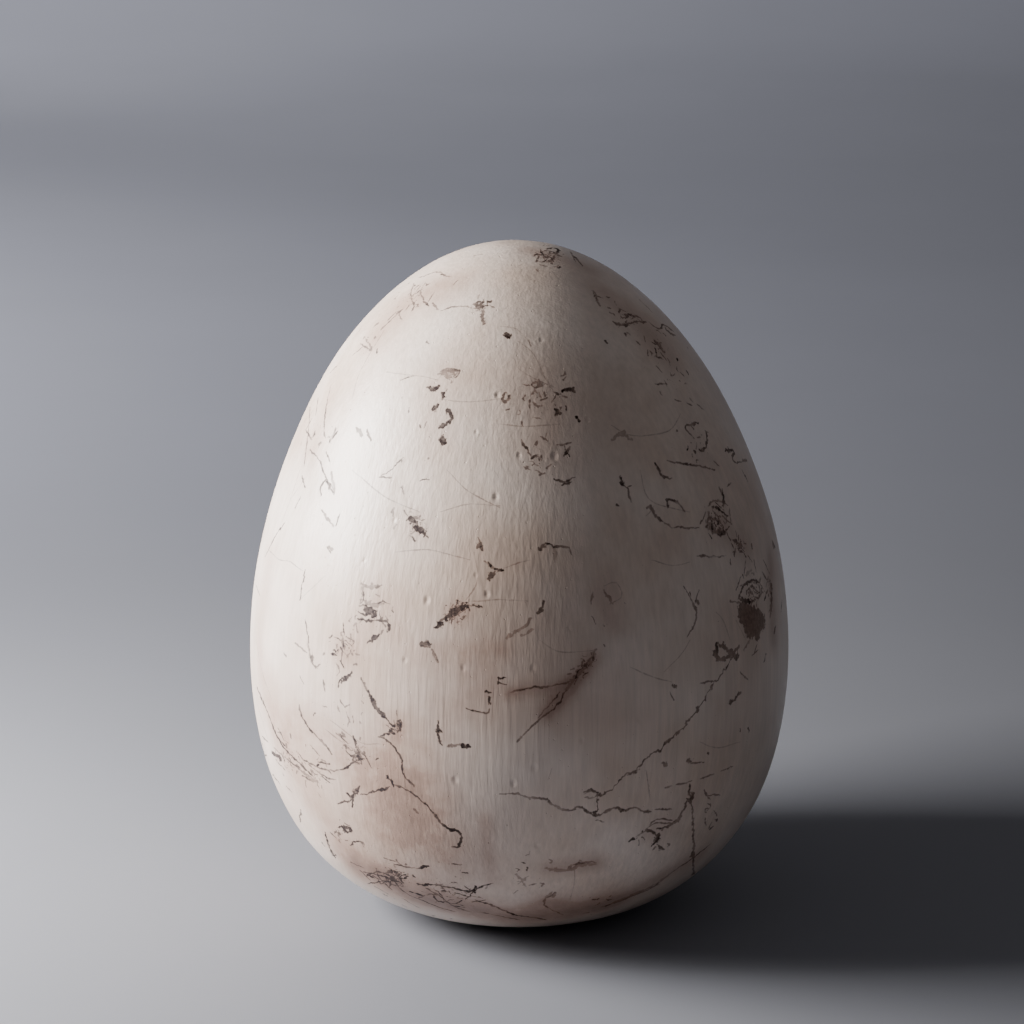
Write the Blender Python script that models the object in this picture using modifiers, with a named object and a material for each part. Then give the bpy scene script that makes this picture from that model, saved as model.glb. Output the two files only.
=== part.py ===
"""Egg of burnished, smoke-fired clay, standing on the small flat spot at its blunt end.

One closed body, turned about +Z. The origin is the centre of the flat spot.
"""

import math

import bpy

# Driving dimensions, in metres
EGG_HEIGHT = 0.174
EGG_RADIUS = 0.070  # at the widest level
WIDEST_LEVEL = 0.066  # height of the widest level above the base
FLAT_SPOT_RADIUS = 0.018
# How far the outline runs on straight before it bends away, at each of its ends
CROWN_REACH = 0.0413  # outwards from the top
SIDE_REACH = 0.048  # upwards from the widest level
BASE_REACH = 0.0277  # outwards from the rim of the flat spot

# How finely the surface is divided
TURN_STEPS = 72
ROWS_ABOVE = 22
ROWS_BELOW = 16
MERGE_DISTANCE = 0.00001

CLAY_COLOUR = (0.72, 0.66, 0.61, 1.0)
CLAY_ROUGHNESS = 0.38


def clear_scene():
    """Removes every object that the scene starts with."""
    for thing in list(bpy.data.objects):
        bpy.data.objects.remove(thing)


def side_reach_below():
    """Reach below the widest level that gives the side the same bend just above and just below it."""
    inset_below = EGG_RADIUS - FLAT_SPOT_RADIUS - BASE_REACH
    inset_above = EGG_RADIUS - CROWN_REACH
    return SIDE_REACH * math.sqrt(inset_below / inset_above)


def bezier(start, first_handle, second_handle, end, rows):
    """Points of one cubic curve in the (radius, height) plane, both ends included."""
    points = []
    for row in range(rows + 1):
        t = row / rows
        weights = ((1 - t) ** 3, 3 * t * (1 - t) ** 2, 3 * t * t * (1 - t), t**3)
        handles = (start, first_handle, second_handle, end)
        points.append(tuple(sum(w * p[i] for w, p in zip(weights, handles)) for i in (0, 1)))
    return points


def egg_outline():
    """Half outline from the top down the side, under the base and in to the middle of the flat spot."""
    top = (0.0, EGG_HEIGHT)
    widest = (EGG_RADIUS, WIDEST_LEVEL)
    rim = (FLAT_SPOT_RADIUS, 0.0)
    above = bezier(
        top,
        (CROWN_REACH, EGG_HEIGHT),
        (EGG_RADIUS, WIDEST_LEVEL + SIDE_REACH),
        widest,
        ROWS_ABOVE,
    )
    below = bezier(
        widest,
        (EGG_RADIUS, WIDEST_LEVEL - side_reach_below()),
        (FLAT_SPOT_RADIUS + BASE_REACH, 0.0),
        rim,
        ROWS_BELOW,
    )
    return above + below[1:] + [(0.0, 0.0)]


def clay_material():
    """Pale burnished clay with a satin face."""
    clay = bpy.data.materials.new("burnished_clay")
    clay.use_nodes = True
    shader = clay.node_tree.nodes["Principled BSDF"]
    shader.inputs["Base Color"].default_value = CLAY_COLOUR
    shader.inputs["Roughness"].default_value = CLAY_ROUGHNESS
    shader.inputs["Metallic"].default_value = 0.0
    clay.diffuse_color = CLAY_COLOUR
    return clay


def make_egg(collection):
    """The egg: its half outline, turned once round +Z."""
    outline = egg_outline()
    mesh = bpy.data.meshes.new("egg")
    points = [(radius, 0.0, height) for radius, height in outline]
    edges = [(i, i + 1) for i in range(len(points) - 1)]
    mesh.from_pydata(points, edges, [])
    mesh.materials.append(clay_material())
    egg = bpy.data.objects.new("egg", mesh)
    collection.objects.link(egg)
    turn = egg.modifiers.new("turn", "SCREW")
    turn.axis = "Z"
    turn.angle = math.tau
    turn.steps = TURN_STEPS
    turn.render_steps = TURN_STEPS
    turn.use_merge_vertices = True
    turn.merge_threshold = MERGE_DISTANCE
    turn.use_smooth_shade = True
    return egg


def main():
    clear_scene()
    collection = bpy.data.collections.new("clay_egg")
    bpy.context.scene.collection.children.link(collection)
    make_egg(collection)


main()
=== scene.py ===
# Burnished, smoke-fired clay egg: its skin, its carbon marks, a pale floor and soft studio light.
import math
import random

import bpy
import bmesh
import numpy as np
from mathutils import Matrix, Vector, noise
from mathutils.bvhtree import BVHTree
from mathutils.kdtree import KDTree


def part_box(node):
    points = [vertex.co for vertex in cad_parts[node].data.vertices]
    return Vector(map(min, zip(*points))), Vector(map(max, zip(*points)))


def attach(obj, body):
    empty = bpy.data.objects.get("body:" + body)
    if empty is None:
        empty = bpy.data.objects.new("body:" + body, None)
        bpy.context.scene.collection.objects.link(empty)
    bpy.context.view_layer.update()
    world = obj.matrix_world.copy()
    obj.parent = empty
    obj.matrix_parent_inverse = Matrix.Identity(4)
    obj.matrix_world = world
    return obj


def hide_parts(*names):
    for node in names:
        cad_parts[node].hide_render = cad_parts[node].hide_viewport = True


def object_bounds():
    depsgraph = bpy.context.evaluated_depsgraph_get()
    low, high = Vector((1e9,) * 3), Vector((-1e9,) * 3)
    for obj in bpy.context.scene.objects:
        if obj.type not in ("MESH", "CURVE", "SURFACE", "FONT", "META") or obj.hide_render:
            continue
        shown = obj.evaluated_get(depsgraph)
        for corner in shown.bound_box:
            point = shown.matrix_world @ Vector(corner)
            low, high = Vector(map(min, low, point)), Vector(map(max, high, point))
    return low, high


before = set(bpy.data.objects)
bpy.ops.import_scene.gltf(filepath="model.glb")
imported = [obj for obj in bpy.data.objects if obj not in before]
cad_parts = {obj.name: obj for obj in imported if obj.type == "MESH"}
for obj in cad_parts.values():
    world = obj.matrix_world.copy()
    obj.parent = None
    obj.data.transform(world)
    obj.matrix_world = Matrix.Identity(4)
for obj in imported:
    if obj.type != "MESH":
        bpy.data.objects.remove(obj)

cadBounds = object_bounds()
eggLow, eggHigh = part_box("egg")
mm = 0.001


# Camera, as the photograph was taken

photoCamera = {
    "elevation": 15.0,  # degrees above the middle of the egg
    "distance": 0.959,  # metres from the middle of the egg
    "lens": 130.0,  # millimetres
    "sensor": 36.0,  # millimetres across
    "frame": 1024,  # pixels across the photograph
    "eggMiddle": (519.8, 574.2),  # pixel where the middle of the egg falls
}
focalPixels = photoCamera["frame"] * photoCamera["lens"] / photoCamera["sensor"]
frameMiddle = photoCamera["frame"] / 2


def placeCamera():
    elevation = math.radians(photoCamera["elevation"])
    middle = Vector((0, 0, eggHigh[2] / 2))
    away = Vector((0, -math.cos(elevation), math.sin(elevation)))
    across, down = photoCamera["eggMiddle"]
    bpy.ops.object.camera_add(location=middle + away * photoCamera["distance"])
    camera = bpy.context.object
    camera.name = "photoCamera"
    camera.data.lens = photoCamera["lens"]
    camera.data.sensor_width = photoCamera["sensor"]
    raised = math.atan((down - frameMiddle) / focalPixels)
    turned = math.atan((across - frameMiddle) / focalPixels)
    camera.rotation_euler = (math.pi / 2 - elevation + raised, 0, turned)
    bpy.context.scene.camera = camera
    bpy.context.view_layer.update()
    return camera


# Egg body

eggForm = {
    "widest": 66.0,  # height of the widest level, mm
    "flatSpot": 18.0,  # radius of the spot it stands on
    "crownReach": 41.3,  # how far the outline runs on before it bends away, from the top
    "sideReach": 48.0,  # upwards from the widest level
    "baseReach": 27.7,  # outwards from the flat spot
    "faces": 104,  # across each side of the cube that the skin starts from, about 1 mm each
    "curveSteps": 600,  # points worked out on each of its two curves
    "outlinePoints": 2000,  # points kept along the whole outline
}
handWork = {
    "broadSize": 38.0,  # mm from swell to swell of the hand-formed wall
    "broadHeight": 0.30,
    "strokeWidth": 7.0,  # mm across the planes of the burnishing
    "strokeLength": 42.0,
    "strokeHeight": 0.055,
    "strokeShift": 5,  # sets this pattern apart from the swells
    "rippleWidth": 2.6,
    "rippleLength": 16.0,
    "rippleHeight": 0.012,
    "rippleShift": 9,
    "stillBelow": 5.0,  # mm above the floor within which the base stays true
    "leanFrom": 100.0,  # mm above the floor, from where the photograph's outline leans to one side
    "crownLean": 1.2,  # mm at the top, to the photograph's left
    "leanEase": 0.15,  # how softly the lean sets in
}
# Small knocks and pinholes on the front: pixel, radius mm, and depth mm, which is guessed
pitsSeen = [
    (556, 456, 1.0, 0.20), (534, 768, 0.9, 0.14), (500, 395, 0.8, 0.20), (497, 497, 0.9, 0.22),
    (533, 668, 0.8, 0.10), (427, 600, 0.9, 0.22), (487, 594, 0.7, 0.16), (476, 575, 0.6, 0.12),
    (606, 553, 0.7, 0.16), (513, 783, 0.8, 0.20), (405, 660, 0.7, 0.14), (569, 628, 0.6, 0.12),
    (521, 455, 0.7, 0.16), (478, 432, 0.6, 0.12), (545, 340, 0.7, 0.14), (590, 420, 0.7, 0.15),
    (365, 560, 0.6, 0.12), (395, 520, 0.7, 0.12), (640, 720, 0.8, 0.18), (582, 740, 0.7, 0.16),
    (463, 668, 0.7, 0.14), (455, 780, 0.9, 0.18), (537, 846, 0.8, 0.18), (700, 560, 0.8, 0.18),
]
pitsElsewhere = {
    "count": 46,
    "radius": (0.5, 1.2),
    "depth": (0.10, 0.28),
    "lowest": -0.8,  # cosine of the angle from the crown
    "facing": 0.1,  # made only where the skin faces the camera less than this
    "seed": 7,
}
pitForm = {
    "finerWithin": (2.2, 1.5),  # pit radii within which the faces are halved, round by round
    "upright": 0.65,  # width of a pit to its height
    "well": 0.62,  # width of the well in pit radii, as are the next three
    "lip": 1.15,  # where its raised lip is
    "lipWidth": 0.3,
    "reach": 1.8,  # where it ends
    "lipHeight": 0.12,  # height of the lip to the depth of the well
}
drawIn = {"tries": 14, "share": 0.006}  # of the way to the egg's middle, for a pixel that misses the egg


def bezierPoint(t, ends):
    a, b, c, d = ends
    return a * (1 - t) ** 3 + 3 * b * t * (1 - t) ** 2 + 3 * c * t * t * (1 - t) + d * t**3


def halfOutline():
    # Radius and height in mm, from the crown to the middle of the flat spot, at even steps of length
    height = eggHigh[2] / mm
    radius = eggHigh[0] / mm
    widest = eggForm["widest"]
    rim = eggForm["flatSpot"]
    insetBelow = radius - rim - eggForm["baseReach"]
    insetAbove = radius - eggForm["crownReach"]
    sideBelow = eggForm["sideReach"] * math.sqrt(insetBelow / insetAbove)
    t = np.linspace(0, 1, eggForm["curveSteps"])
    above = np.stack([
        bezierPoint(t, (0, eggForm["crownReach"], radius, radius)),
        bezierPoint(t, (height, height, widest + eggForm["sideReach"], widest)),
    ], 1)
    below = np.stack([
        bezierPoint(t, (radius, radius, rim + eggForm["baseReach"], rim)),
        bezierPoint(t, (widest, widest - sideBelow, 0, 0)),
    ], 1)
    line = np.concatenate([above, below[1:], [[0, 0]]])
    run = np.concatenate([[0], np.cumsum(np.linalg.norm(np.diff(line, axis=0), axis=1))])
    even = np.linspace(0, run[-1], eggForm["outlinePoints"])
    return np.stack([np.interp(even, run, line[:, 0]), np.interp(even, run, line[:, 1])], 1)


outline = halfOutline()


def onOutline(share):
    # Radius and height at a share of the way from the crown to the foot
    place = np.linspace(0, 1, len(outline))
    return np.interp(share, place, outline[:, 0]), np.interp(share, place, outline[:, 1])


def meshPoints(mesh):
    points = np.empty(len(mesh.vertices) * 3)
    mesh.vertices.foreach_get("co", points)
    return points.reshape(-1, 3)


def setMeshPoints(mesh, points):
    mesh.vertices.foreach_set("co", points.ravel())
    mesh.update()


def faceCentres(mesh):
    centres = np.empty(len(mesh.polygons) * 3)
    mesh.polygons.foreach_get("center", centres)
    return centres.reshape(-1, 3)


def eggSkin():
    bpy.ops.object.select_all(action="DESELECT")
    bpy.ops.mesh.primitive_cube_add(size=2)
    egg = bpy.context.object
    egg.name = "clayEgg"
    bpy.ops.object.mode_set(mode="EDIT")
    bpy.ops.mesh.select_all(action="SELECT")
    bpy.ops.mesh.subdivide(number_cuts=eggForm["faces"] - 1)
    bpy.ops.object.mode_set(mode="OBJECT")
    # Even faces on a ball, then each ring of the ball goes to its place on the outline
    ball = np.tan(meshPoints(egg.data) * math.pi / 4)
    ball /= np.linalg.norm(ball, axis=1)[:, None]
    share = np.arccos(np.clip(ball[:, 2], -1, 1)) / math.pi
    radius, height = onOutline(share)
    flat = np.maximum(np.hypot(ball[:, 0], ball[:, 1]), 1e-9)
    skin = np.stack([ball[:, 0] / flat * radius, ball[:, 1] / flat * radius, height], 1) * mm
    setMeshPoints(egg.data, skin)
    return egg


def pixelDirection(camera, x, y):
    turn = camera.matrix_world.to_quaternion()
    ray = Vector(((x - frameMiddle) / focalPixels, (frameMiddle - y) / focalPixels, -1))
    return (turn @ ray).normalized()


def pixelOnEgg(camera, surface, x, y):
    # Where a pixel falls on the skin. One just past the egg's edge is drawn in towards its middle
    middleX, middleY = photoCamera["eggMiddle"]
    for attempt in range(drawIn["tries"]):
        place = surface.ray_cast(camera.location, pixelDirection(camera, x, y))[0]
        if place is not None:
            return place
        x += (middleX - x) * drawIn["share"]
        y += (middleY - y) * drawIn["share"]
    return None


def facesCamera(camera, place, normal):
    return normal.dot((camera.location - place).normalized())


def randomPlace(surface, dice, lowest, highest):
    # A place on the skin and its normal. The limits are cosines of the angle from the crown
    azimuth = dice.uniform(0, math.tau)
    radius, height = onOutline(math.acos(dice.uniform(lowest, highest)) / math.pi)
    place = Vector((math.cos(azimuth) * radius, math.sin(azimuth) * radius, height)) * mm
    return surface.find_nearest(place)[:2]


def pitList(camera, surface):
    pits = [(pixelOnEgg(camera, surface, x, y), radius, depth) for x, y, radius, depth in pitsSeen]
    dice = random.Random(pitsElsewhere["seed"])
    while len(pits) < len(pitsSeen) + pitsElsewhere["count"]:
        place, normal = randomPlace(surface, dice, pitsElsewhere["lowest"], 1)
        if facesCamera(camera, place, normal) < pitsElsewhere["facing"]:
            radius = dice.uniform(*pitsElsewhere["radius"])
            depth = dice.uniform(*pitsElsewhere["depth"])
            pits.append((place, radius, depth))
    return pits


def refineRoundPits(egg, pits):
    # Two rounds of finer faces, so that a 1 mm pit has a round rim
    for reach in pitForm["finerWithin"]:
        bpy.ops.object.select_all(action="DESELECT")
        egg.select_set(True)
        bpy.context.view_layer.objects.active = egg
        centres = faceCentres(egg.data)
        near = np.zeros(len(centres), bool)
        for place, radius, depth in pits:
            near |= np.linalg.norm(centres - np.array(place), axis=1) < radius * reach * mm
        bpy.ops.object.mode_set(mode="EDIT")
        bpy.ops.mesh.select_mode(type="FACE")
        bpy.ops.mesh.select_all(action="DESELECT")
        cage = bmesh.from_edit_mesh(egg.data)
        cage.faces.ensure_lookup_table()
        for index in np.flatnonzero(near):
            cage.faces[index].select = True
        bmesh.update_edit_mesh(egg.data)
        bpy.ops.mesh.subdivide(number_cuts=1, ngon=False)
        bpy.ops.object.mode_set(mode="OBJECT")


def handFormed(egg, pits):
    # Swells, stroke planes, ripples and pits are laid on along the normals, then the crown is leaned over
    mesh = egg.data
    work = handWork
    points = meshPoints(mesh)
    normals = np.empty(len(points) * 3)
    mesh.vertices.foreach_get("normal", normals)
    normals = normals.reshape(-1, 3)
    lift = np.empty(len(points))
    broad, wide, fine = work["broadSize"], work["strokeWidth"], work["rippleWidth"]
    for i, (x, y, z) in enumerate(points / mm):
        swell = noise.noise(Vector((x / broad, y / broad, z / broad))) * work["broadHeight"]
        plane = noise.noise(Vector((x / wide, y / wide, z / work["strokeLength"] + work["strokeShift"])))
        ripple = noise.noise(Vector((x / fine, y / fine, z / work["rippleLength"] + work["rippleShift"])))
        lift[i] = swell + plane * work["strokeHeight"] + ripple * work["rippleHeight"]
    above = np.clip(points[:, 2] / mm / work["stillBelow"], 0, 1)
    lift *= above * above * (3 - 2 * above)
    for place, radius, depth in pits:
        step = (points - np.array(place)) / mm / radius
        step[:, 2] *= pitForm["upright"]
        away = np.linalg.norm(step, axis=1)
        inside = away < pitForm["reach"]
        well = np.exp(-((away[inside] / pitForm["well"]) ** 2))
        lip = np.exp(-(((away[inside] - pitForm["lip"]) / pitForm["lipWidth"]) ** 2)) * pitForm["lipHeight"]
        lift[inside] += depth * (lip - well)
    points += normals * lift[:, None] * mm
    ease = work["leanEase"]
    leanHeight = eggHigh[2] / mm - work["leanFrom"]
    leaning = np.clip((points[:, 2] / mm - work["leanFrom"]) / leanHeight, 0, 1)
    points[:, 0] -= work["crownLean"] * mm * (1 + ease) * leaning * leaning / (leaning + ease)
    # No part of the visual egg leaves the box of the solid one
    points = np.clip(points, np.array(cadBounds[0]), np.array(cadBounds[1]))
    setMeshPoints(mesh, points)
    mesh.shade_smooth()


# Carbon marks

# Kinds of mark: width in mm, darkness, slow wander and its spacing in mm, quick kinks in mm, and the
# length of the tapered ends in mm
markKinds = {
    "hair": {"width": 0.22, "ink": 0.48, "wander": 0.12, "spacing": 5.0, "kink": 0.15, "taper": 3.0},
    "faint": {"width": 0.90, "ink": 0.60, "wander": 0.30, "spacing": 2.4, "kink": 1.10, "taper": 2.0},
    "fine": {"width": 0.42, "ink": 0.84, "wander": 0.16, "spacing": 2.2, "kink": 0.85, "taper": 1.0},
    "line": {"width": 0.62, "ink": 0.94, "wander": 0.18, "spacing": 2.0, "kink": 1.05, "taper": 0.9},
    "thick": {"width": 1.15, "ink": 0.98, "wander": 0.22, "spacing": 2.2, "kink": 1.30, "taper": 1.0},
    "zigzag": {"width": 0.50, "ink": 0.98, "wander": 0.15, "spacing": 3.0, "kink": 2.00, "taper": 1.5},
    "brown": {"width": 1.10, "ink": 0.62, "wander": 0.25, "spacing": 3.0, "kink": 0.90, "taper": 2.0},
}

# Marks on the front as pixels along each one, and how dark each region's marks are. Most were read from the
# photograph. Some faint hairs and short strokes were added between them in the same manner
# Each region's strength is partly the marks' own darkness and partly painted light: marks on the shaded right
# and middle are made fainter than on the lit left
frontMarks = {
    "crown": {
        "strength": 0.92,
        "fine": [
            [(414, 283), (411, 295), (414, 306), (412, 311)], [(409, 305), (405, 311)],
            [(403, 309), (393, 318), (382, 329)], [(435, 292), (427, 303)], [(441, 274), (452, 277)],
            [(453, 285), (458, 280)], [(418, 278), (436, 272), (444, 274)], [(473, 256), (483, 254)],
            [(473, 308), (456, 306), (441, 311)], [(398, 311), (402, 320)], [(420, 286), (416, 292)],
            [(388, 320), (396, 312)], [(426, 282), (420, 292), (424, 300)], [(571, 252), (576, 262)],
            [(540, 249), (548, 262), (558, 251)], [(536, 262), (545, 250), (561, 256)],
            [(538, 252), (548, 256), (554, 262)], [(474, 304), (479, 311)], [(478, 303), (482, 311)],
            [(360, 344), (372, 350), (366, 338)], [(352, 356), (364, 346)],
        ],
        "line": [
            [(533, 256), (539, 254), (548, 258), (557, 255), (562, 257)],
            [(536, 261), (544, 262), (547, 259)], [(547, 249), (556, 248), (558, 253), (551, 254)],
            [(432, 303), (438, 310)], [(423, 301), (429, 306)], [(594, 297), (598, 295), (596, 301)],
            [(572, 255), (577, 259), (582, 266)], [(482, 306), (483, 316), (483, 325)],
            [(403, 309), (396, 314)], [(385, 325), (381, 330)], [(474, 311), (483, 309), (488, 303)],
        ],
        "thick": [
            [(473, 304), (481, 303), (490, 301)], [(474, 308), (483, 307), (488, 305)],
            [(483, 308), (482, 317), (484, 324)],
        ],
    },
    "shoulder, left": {
        "strength": 1.05,
        "hair": [
            [(447, 470), (470, 492), (500, 508)], [(384, 330), (360, 372), (352, 400)],
            [(300, 470), (290, 500), (282, 522)], [(440, 399), (470, 402), (505, 398)],
            [(386, 372), (420, 376), (438, 380)], [(305, 478), (290, 500)],
        ],
        "faint": [
            [(336, 428), (333, 436), (330, 442)], [(331, 472), (334, 484), (334, 494)],
            [(401, 459), (398, 463)], [(402, 487), (404, 494)], [(356, 428), (362, 436)],
            [(367, 430), (371, 440)],
        ],
        "fine": [
            [(331, 385), (326, 407), (324, 431), (326, 438)],
            [(310, 407), (309, 425), (307, 443), (304, 466)],
            [(310, 449), (320, 461), (326, 478), (334, 490)], [(331, 440), (338, 431)],
            [(400, 380), (414, 376)], [(420, 481), (429, 479)], [(401, 487), (403, 489)],
            [(318, 398), (316, 415)], [(305, 430), (312, 440)], [(326, 452), (330, 462)],
            [(403, 457), (395, 465), (391, 471), (381, 476)], [(302, 476), (305, 488)],
            [(330, 373), (337, 366)], [(443, 393), (442, 400)], [(426, 421), (424, 428)],
            [(312, 418), (306, 430)], [(392, 478), (379, 478)], [(327, 478), (320, 488), (321, 496)],
            [(295, 508), (301, 496)],
        ],
        "line": [
            [(439, 374), (447, 369), (459, 371), (455, 378), (450, 375)], [(438, 404), (432, 411)],
            [(449, 410), (452, 416), (446, 424), (439, 428)], [(427, 342), (429, 343)],
            [(440, 386), (433, 389), (427, 387)],
        ],
        "thick": [
            [(427, 387), (433, 389), (439, 386)], [(506, 334), (508, 336)],
            [(447, 409), (452, 416), (446, 425)], [(443, 393), (442, 399)], [(433, 410), (438, 404)],
            [(439, 428), (445, 424)], [(326, 480), (333, 492)],
        ],
        "brown": [
            [(438, 374), (448, 370), (458, 371), (454, 376)], [(442, 374), (455, 374)],
            [(446, 376), (455, 377)], [(441, 372), (451, 370), (459, 373)],
        ],
    },
    "shoulder, middle": {
        "strength": 0.90,
        "hair": [
            [(515, 359), (518, 368), (533, 378), (556, 388)],
            [(518, 341), (533, 353), (545, 377), (554, 392)], [(500, 424), (530, 426), (560, 424)],
            [(500, 326), (518, 330), (532, 346)],
        ],
        "fine": [
            [(529, 340), (531, 346)], [(506, 410), (509, 409)], [(530, 399), (530, 408)],
            [(566, 376), (563, 380)], [(530, 461), (538, 466)], [(522, 384), (530, 385)],
            [(540, 436), (548, 441)], [(556, 396), (552, 402)], [(524, 466), (530, 470)],
            [(536, 470), (542, 474)], [(546, 468), (552, 464)], [(565, 444), (565, 450)],
            [(539, 392), (541, 398)],
        ],
        "line": [
            [(506, 392), (503, 399), (507, 402), (510, 395)],
            [(538, 380), (542, 384), (535, 387), (532, 384)], [(533, 402), (539, 407), (542, 405)],
            [(554, 392), (559, 394)], [(521, 440), (527, 449), (532, 458)],
            [(557, 445), (565, 444), (571, 442)], [(554, 479), (565, 481), (575, 477)],
            [(562, 485), (571, 482)], [(577, 417), (579, 421)], [(541, 401), (547, 398)],
            [(568, 450), (564, 456)], [(532, 458), (536, 456)],
        ],
        "thick": [[(563, 392), (572, 389), (574, 392)], [(556, 410), (560, 414)]],
    },
    "shoulder, right": {
        "strength": 0.84,
        "hair": [
            [(611, 425), (630, 435), (657, 434), (672, 428), (681, 413)],
            [(640, 470), (650, 500), (690, 512)],
        ],
        "faint": [[(612, 440), (622, 434), (632, 440)], [(594, 292), (600, 306)], [(640, 300), (652, 312)]],
        "fine": [
            [(675, 400), (681, 401)], [(687, 403), (692, 405)], [(714, 461), (719, 466)],
            [(660, 352), (668, 362)], [(648, 350), (648, 356)], [(655, 384), (667, 384)],
            [(670, 372), (672, 377), (675, 374)], [(664, 380), (667, 386)], [(727, 486), (731, 483)],
            [(742, 470), (748, 482)], [(667, 461), (693, 465), (715, 470)], [(697, 443), (696, 449)],
            [(690, 398), (693, 402)], [(656, 366), (662, 372)], [(697, 404), (704, 410)],
            [(618, 308), (626, 312)], [(680, 372), (684, 376)],
        ],
        "line": [
            [(610, 312), (615, 316)], [(613, 322), (621, 325), (627, 321)],
            [(621, 316), (625, 319), (630, 314), (639, 317), (642, 320)],
            [(619, 326), (633, 322), (646, 322)], [(649, 322), (658, 329), (664, 325), (674, 332)],
            [(605, 341), (607, 343)], [(658, 357), (661, 358)],
            [(698, 422), (687, 426), (685, 429), (690, 434)], [(636, 341), (640, 345)],
            [(706, 432), (707, 443), (703, 451), (699, 450)],
            [(620, 476), (622, 484), (627, 488), (631, 502)],
            [(655, 463), (660, 472), (664, 477), (672, 478)], [(666, 499), (678, 503), (685, 512)],
            [(667, 500), (668, 508)], [(617, 505), (619, 506)], [(665, 327), (668, 332), (676, 336)],
            [(725, 451), (729, 449), (734, 452), (732, 457), (735, 463), (747, 460)],
            [(719, 487), (723, 497), (722, 506)], [(648, 507), (651, 506), (655, 515), (663, 522)],
            [(627, 488), (631, 485)],
        ],
        "thick": [
            [(655, 341), (660, 347), (664, 352)], [(666, 499), (677, 501)], [(726, 450), (731, 450)],
            [(621, 478), (623, 485)], [(704, 447), (702, 451)], [(630, 315), (637, 317)],
        ],
    },
    "waist, left": {
        "strength": 1.05,
        "hair": [
            [(471, 601), (500, 600), (528, 601)], [(269, 550), (278, 559), (290, 562), (303, 571)],
            [(395, 552), (430, 550), (470, 560)], [(504, 568), (530, 560)],
            [(352, 470), (384, 496), (420, 512)], [(440, 512), (470, 504), (500, 506)],
            [(474, 552), (478, 580), (466, 600)], [(325, 576), (300, 600)],
        ],
        "faint": [
            [(361, 584), (364, 586), (363, 596), (360, 604)], [(364, 586), (373, 588), (382, 586)],
            [(309, 650), (311, 661), (316, 667)], [(412, 517), (420, 519)], [(343, 636), (344, 649)],
            [(308, 640), (309, 658)], [(322, 510), (334, 526)], [(362, 600), (374, 604), (384, 604)],
            [(392, 516), (394, 508)], [(327, 546), (333, 550)],
        ],
        "fine": [
            [(285, 522), (275, 537), (265, 557)], [(256, 585), (260, 596)],
            [(305, 620), (308, 637), (309, 650), (311, 661), (316, 667), (320, 664)],
            [(295, 643), (307, 653)], [(343, 623), (344, 637), (343, 649), (341, 661)],
            [(337, 655), (331, 653)], [(334, 637), (341, 640)], [(340, 661), (344, 668)],
            [(346, 712), (349, 721), (348, 727)], [(327, 547), (331, 553)], [(340, 514), (336, 526)],
            [(284, 654), (286, 656)], [(345, 640), (352, 646)], [(372, 588), (382, 586)],
            [(364, 601), (363, 592)], [(323, 680), (325, 691)], [(478, 537), (480, 542)],
            [(358, 612), (366, 616)], [(374, 604), (384, 602), (390, 604)], [(359, 606), (368, 604)],
            [(432, 649), (438, 661)], [(484, 561), (495, 570)],
            [(466, 708), (474, 711), (488, 713), (489, 709)], [(340, 700), (345, 708)],
            [(336, 663), (340, 670), (337, 676)], [(300, 676), (304, 684)], [(408, 516), (404, 510)],
            [(424, 534), (428, 538)],
        ],
        "line": [
            [(357, 619), (372, 621), (381, 620), (388, 622), (390, 628), (387, 632)],
            [(367, 643), (375, 638), (379, 634)], [(305, 570), (300, 600)], [(498, 678), (506, 678)],
            [(498, 682), (506, 684)], [(498, 678), (498, 684)], [(353, 736), (357, 748), (361, 760)],
            [(352, 673), (346, 676), (340, 681), (338, 687)],
            [(361, 678), (367, 690), (373, 702), (379, 712), (388, 721)],
            [(438, 721), (437, 731), (440, 740), (442, 745)], [(447, 746), (459, 745), (470, 746)],
            [(488, 562), (491, 566)],
            [(388, 721), (394, 726), (400, 721), (402, 727), (396, 733), (390, 732), (393, 727)],
            [(381, 736), (390, 734)], [(485, 692), (491, 693)], [(436, 626), (444, 619), (452, 612)],
            [(299, 705), (301, 715), (305, 721), (310, 730), (320, 739), (326, 745), (332, 754)],
            [(468, 605), (476, 605), (482, 607)], [(446, 622), (456, 615), (466, 610)],
        ],
        "thick": [
            [(495, 570), (503, 570)], [(495, 571), (489, 580)],
            [(435, 628), (441, 623), (449, 617), (455, 611), (461, 607), (470, 605)],
            [(448, 618), (458, 609), (468, 605)], [(489, 697), (489, 704)],
            [(368, 691), (375, 705), (384, 716)], [(462, 746), (470, 746)], [(479, 546), (481, 547)],
            [(420, 644), (431, 644)], [(422, 646), (431, 646)], [(369, 642), (378, 635)],
            [(341, 682), (350, 675)],
        ],
        "brown": [[(506, 638), (516, 632), (527, 623), (531, 618)], [(432, 650), (438, 662)]],
    },
    "flank, left": {
        "strength": 1.10,
        "hair": [
            [(256, 640), (262, 672), (272, 700)], [(330, 720), (360, 742), (380, 744)],
            [(256, 700), (262, 720), (268, 740)], [(325, 729), (338, 739), (357, 751)],
        ],
        "faint": [[(356, 752), (362, 758)], [(298, 768), (312, 778)], [(306, 776), (318, 782)]],
        "fine": [
            [(378, 737), (385, 739), (394, 747), (402, 759), (402, 769), (405, 777), (414, 785)],
            [(304, 760), (320, 768), (334, 771), (346, 768), (354, 762), (360, 760)],
            [(260, 697), (269, 715), (275, 733), (287, 748)], [(274, 748), (288, 760), (300, 768)],
            [(289, 757), (292, 764)], [(300, 760), (296, 750)], [(318, 762), (330, 764)],
            [(322, 776), (330, 783)], [(302, 776), (312, 781)], [(276, 760), (285, 770)],
            [(310, 745), (320, 756)], [(336, 733), (348, 744)], [(342, 748), (356, 758)],
            [(308, 764), (324, 776), (336, 780)], [(364, 754), (372, 768)], [(350, 750), (344, 742)],
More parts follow.
